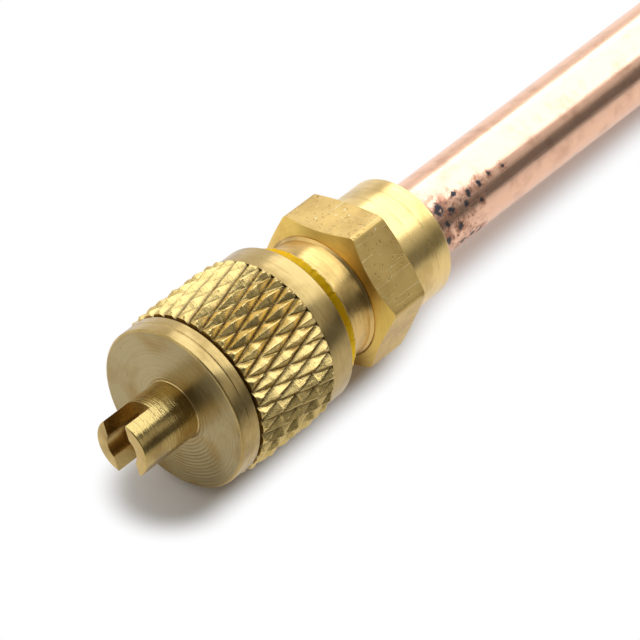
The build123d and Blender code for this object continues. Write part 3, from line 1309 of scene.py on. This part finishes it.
@dataclass
class BrazeFillet:
    """The filler that wetted the joint between the collar and the tube."""

    station: float = 30.1
    tube_radius: float = 3.175
    inner_radius: float = 3.0
    leg: float = 0.7
    arc_steps: int = 8

    def build(self) -> Piece:
        """Build the fillet, dress it and put it in place.

        Returns:
            The finished piece.
        """
        outline = [Vector((self.inner_radius, 0, self.station))]
        for step in range(self.arc_steps + 1):
            turn = math.radians(90) * step / self.arc_steps
            outline.append(Vector((self.tube_radius + self.leg * (1 - math.sin(turn)), 0,
                                   self.station + self.leg * (1 - math.cos(turn)))))
        outline.append(Vector((self.inner_radius, 0, self.station + self.leg)))
        shell = Lathe.spin(outline, closed=True)
        for vert in shell.verts:
            radius = math.hypot(vert.co.x, vert.co.y)
            if vert.co.z > self.station + 0.02 and radius > self.tube_radius:
                vert.co.z -= (0.5 + noise.noise(vert.co * 0.9) * 0.9) * 0.08
        finish = PlainMetal("braze_filler", (0.72, 0.60, 0.42), (0.45, 0.33, 0.22), 0.35, 2.0)
        piece = Bench.finish([shell], "braze_fillet", [finish.material()])
        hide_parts("braze_ring")
        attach(piece, Body.VALVE.value)
        return piece


@dataclass
class CoreSpring:
    """The core's coil spring, which shortens as the pin is pressed."""

    start: float = 15.1
    end: float = 19.4
    mean_radius: float = 1.15
    wire_radius: float = 0.17
    turns: int = 7
    steps_a_turn: int = 30
    travel: float = 1.2

    def coil(self) -> Shell:
        """Wind the wire.

        Returns:
            The closed coil.
        """
        wire = bmesh.new()
        bmesh.ops.create_circle(wire, segments=12, radius=self.wire_radius)
        bmesh.ops.rotate(wire, verts=wire.verts, matrix=Matrix.Rotation(math.pi / 2, 3, "X"))
        bmesh.ops.translate(wire, verts=wire.verts,
                            vec=(self.mean_radius, 0, self.start + self.wire_radius))
        steps = self.turns * self.steps_a_turn
        rise = self.end - self.start - 2 * self.wire_radius
        bmesh.ops.spin(wire, geom=[*wire.verts, *wire.edges], cent=(0, 0, 0), axis=(0, 0, 1),
                       dvec=(0, 0, rise / steps), angle=math.tau * self.turns, steps=steps,
                       use_merge=False, use_duplicate=False)
        bmesh.ops.holes_fill(wire, edges=[edge for edge in wire.edges if edge.is_boundary], sides=0)
        Lathe.close(wire)
        return wire

    def build(self) -> Piece:
        """Build the spring, dress it and put it in place.

        Returns:
            The finished piece.
        """
        finish = PlainMetal("spring_steel", (0.62, 0.62, 0.64), (0.4, 0.4, 0.42), 0.3)
        piece = Bench.finish([self.coil()], "core_spring_coil", [finish.material()],
                             crease=50.0)
        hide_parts("core_spring")
        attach(piece, Body.VALVE.value)
        seat = AXIS.point(self.end)
        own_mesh(piece)
        return piece


@dataclass
class ValveCore:
    """The core and the cap's gasket, whose solids stay as they are and are only dressed."""

    def build(self) -> list[Piece]:
        """Dress each solid of the core.

        Returns:
            The dressed solids.
        """
        brass = TurnedBrass("core_turned_brass", colour=(0.78, 0.58, 0.22), roughness=0.28)
        plastic = SoftSeal("washer_plastic", (0.70, 0.12, 0.08), (0.55, 0.08, 0.06), 0.4)
        rubber = SoftSeal("seal_rubber", (0.03, 0.03, 0.03), (0.06, 0.06, 0.06))
        dull_rubber = SoftSeal("gasket_rubber", (0.025, 0.025, 0.028), (0.05, 0.05, 0.05))
        steel = PlainMetal("pin_steel", (0.60, 0.60, 0.62), (0.42, 0.42, 0.44), 0.28)
        finishes = {("core_plug", "core_barrel", "core_cup"): brass, ("core_washer",): plastic,
                    ("core_seal",): rubber, ("cap_gasket",): dull_rubber, ("core_pin",): steel}
        dressed = []
        for names, finish in finishes.items():
            material = finish.material()
            for solid in (frame["nodes"][name] for name in names):
                if solid.data.materials:
                    solid.material_slots[0].material = material
                else:
                    solid.data.materials.append(material)
                dressed.append(solid)
        return dressed


@dataclass
class Studio:
    """The plain pale floor and the soft lights."""

    floor_half: float = 3.0
    key_level: float = 1.85
    key_tint: Colour = (0.95, 1.03, 1.16)
    edge_level: float = 0.45
    front_level: float = 1.0
    fill_level: float = 0.72
    world_level: float = 0.14

    def floor(self) -> Piece:
        """Lay the floor that the valve lies on.

        Returns:
            The floor.
        """
        sheet = bmesh.new()
        bmesh.ops.create_grid(sheet, x_segments=4, y_segments=4, size=self.floor_half)
        mesh = mesh_of(sheet, "studio_floor")
        mesh.materials.append(PaleFloor().material())
        floor = new_object("studio_floor", mesh)
        return floor

    def panel(self, name: str, place: Vector, target: Vector, width: float, height: float,
              level: float, tint: Colour = (1.0, 1.0, 1.0)) -> Piece:
        """Hang a soft light panel.

        Args:
            name: the light's name.
            place: its centre, in metres.
            target: the point that it faces.
            width: its size across.
            height: its size up.
            level: how bright its face is, where 1 is white.
            tint: its colour.

        Returns:
            The light.
        """
        lamp = bpy.data.lights.new(name, "AREA")
        lamp.shape, lamp.size, lamp.size_y = "RECTANGLE", width, height
        lamp.energy = level * math.pi * width * height
        lamp.color = tint
        light = new_object(name, lamp)
        light.location = place
        light.rotation_euler = (target - place).to_track_quat("-Z", "Y").to_euler()
        return light

    def build(self) -> None:
        """Put up the floor, the lights and the grey room."""
        self.floor()
        target = AXIS.point(20)
        fill_place = Vector((0.6, 0.85, 0.45))
        self.panel("key_panel", Vector((0.37, 0.06, 0.47)), target, width=0.8, height=0.8,
                   level=self.key_level, tint=self.key_tint)
        self.panel("fill_panel", fill_place, fill_place - Vector((0, 1, 0)), width=2.4, height=0.9,
                   level=self.fill_level)
        self.panel("edge_panel", Vector((0.366, -0.363, 0.305)), target, width=0.8, height=0.22,
                   level=self.edge_level)
        self.panel("front_panel", Vector((-0.55, 0.38, 0.6)), target, width=0.9, height=0.8,
                   level=self.front_level)
        world = bpy.data.worlds.new("grey_room")
        world.use_nodes = True
        room = world.node_tree.nodes["Background"]
        room.inputs["Color"].default_value = (1.0, 1.0, 1.0, 1.0)
        room.inputs["Strength"].default_value = self.world_level
        bpy.context.scene.world = world


@dataclass
class Viewpoint:
    """The camera: looking down on the cap's face from the valve's left front."""

    lens: float = 225.0
    distance: float = 273.6
    facing: tuple[float, float, float] = (0.5599, 0.4690, -0.6830)
    right_offset: float = 13.572
    up_offset: float = 8.841

    def build(self) -> Piece:
        """Place the camera.

        Returns:
            The camera.
        """
        forward = Vector(self.facing).normalized()
        right = forward.cross(Vector((0, 0, 1))).normalized()
        up = right.cross(forward)
        aim = AXIS.tip + right * self.right_offset * MM + up * self.up_offset * MM
        lens = bpy.data.cameras.new("viewpoint")
        lens.lens, lens.sensor_width = self.lens, 36.0
        lens.clip_start, lens.clip_end = 0.01, 20.0
        camera = new_object("viewpoint", lens)
        camera.location = aim - forward * self.distance * MM
        camera.rotation_euler = forward.to_track_quat("-Z", "Y").to_euler()
        bpy.context.scene.camera = camera
        return camera


def report(piece: Piece) -> None:
    """Log a piece's name and its count of faces."""
    log.info("%s: %d faces", piece.name, len(piece.data.polygons))


def main() -> None:
    """Build the valve, the studio and the camera."""
    logging.basicConfig(level=logging.INFO, format="%(name)s: %(message)s")
    bpy.context.scene.view_settings.view_transform = "Standard"
    for assembly in (ServiceCap(), ValveBody(), CopperStub(), BrazeFillet(), CoreSpring()):
        report(assembly.build())
    for solid in ValveCore().build():
        report(solid)
    Studio().build()
    Viewpoint().build()
    bpy.context.view_layer.update()


if __name__ == "__main__":
    main()
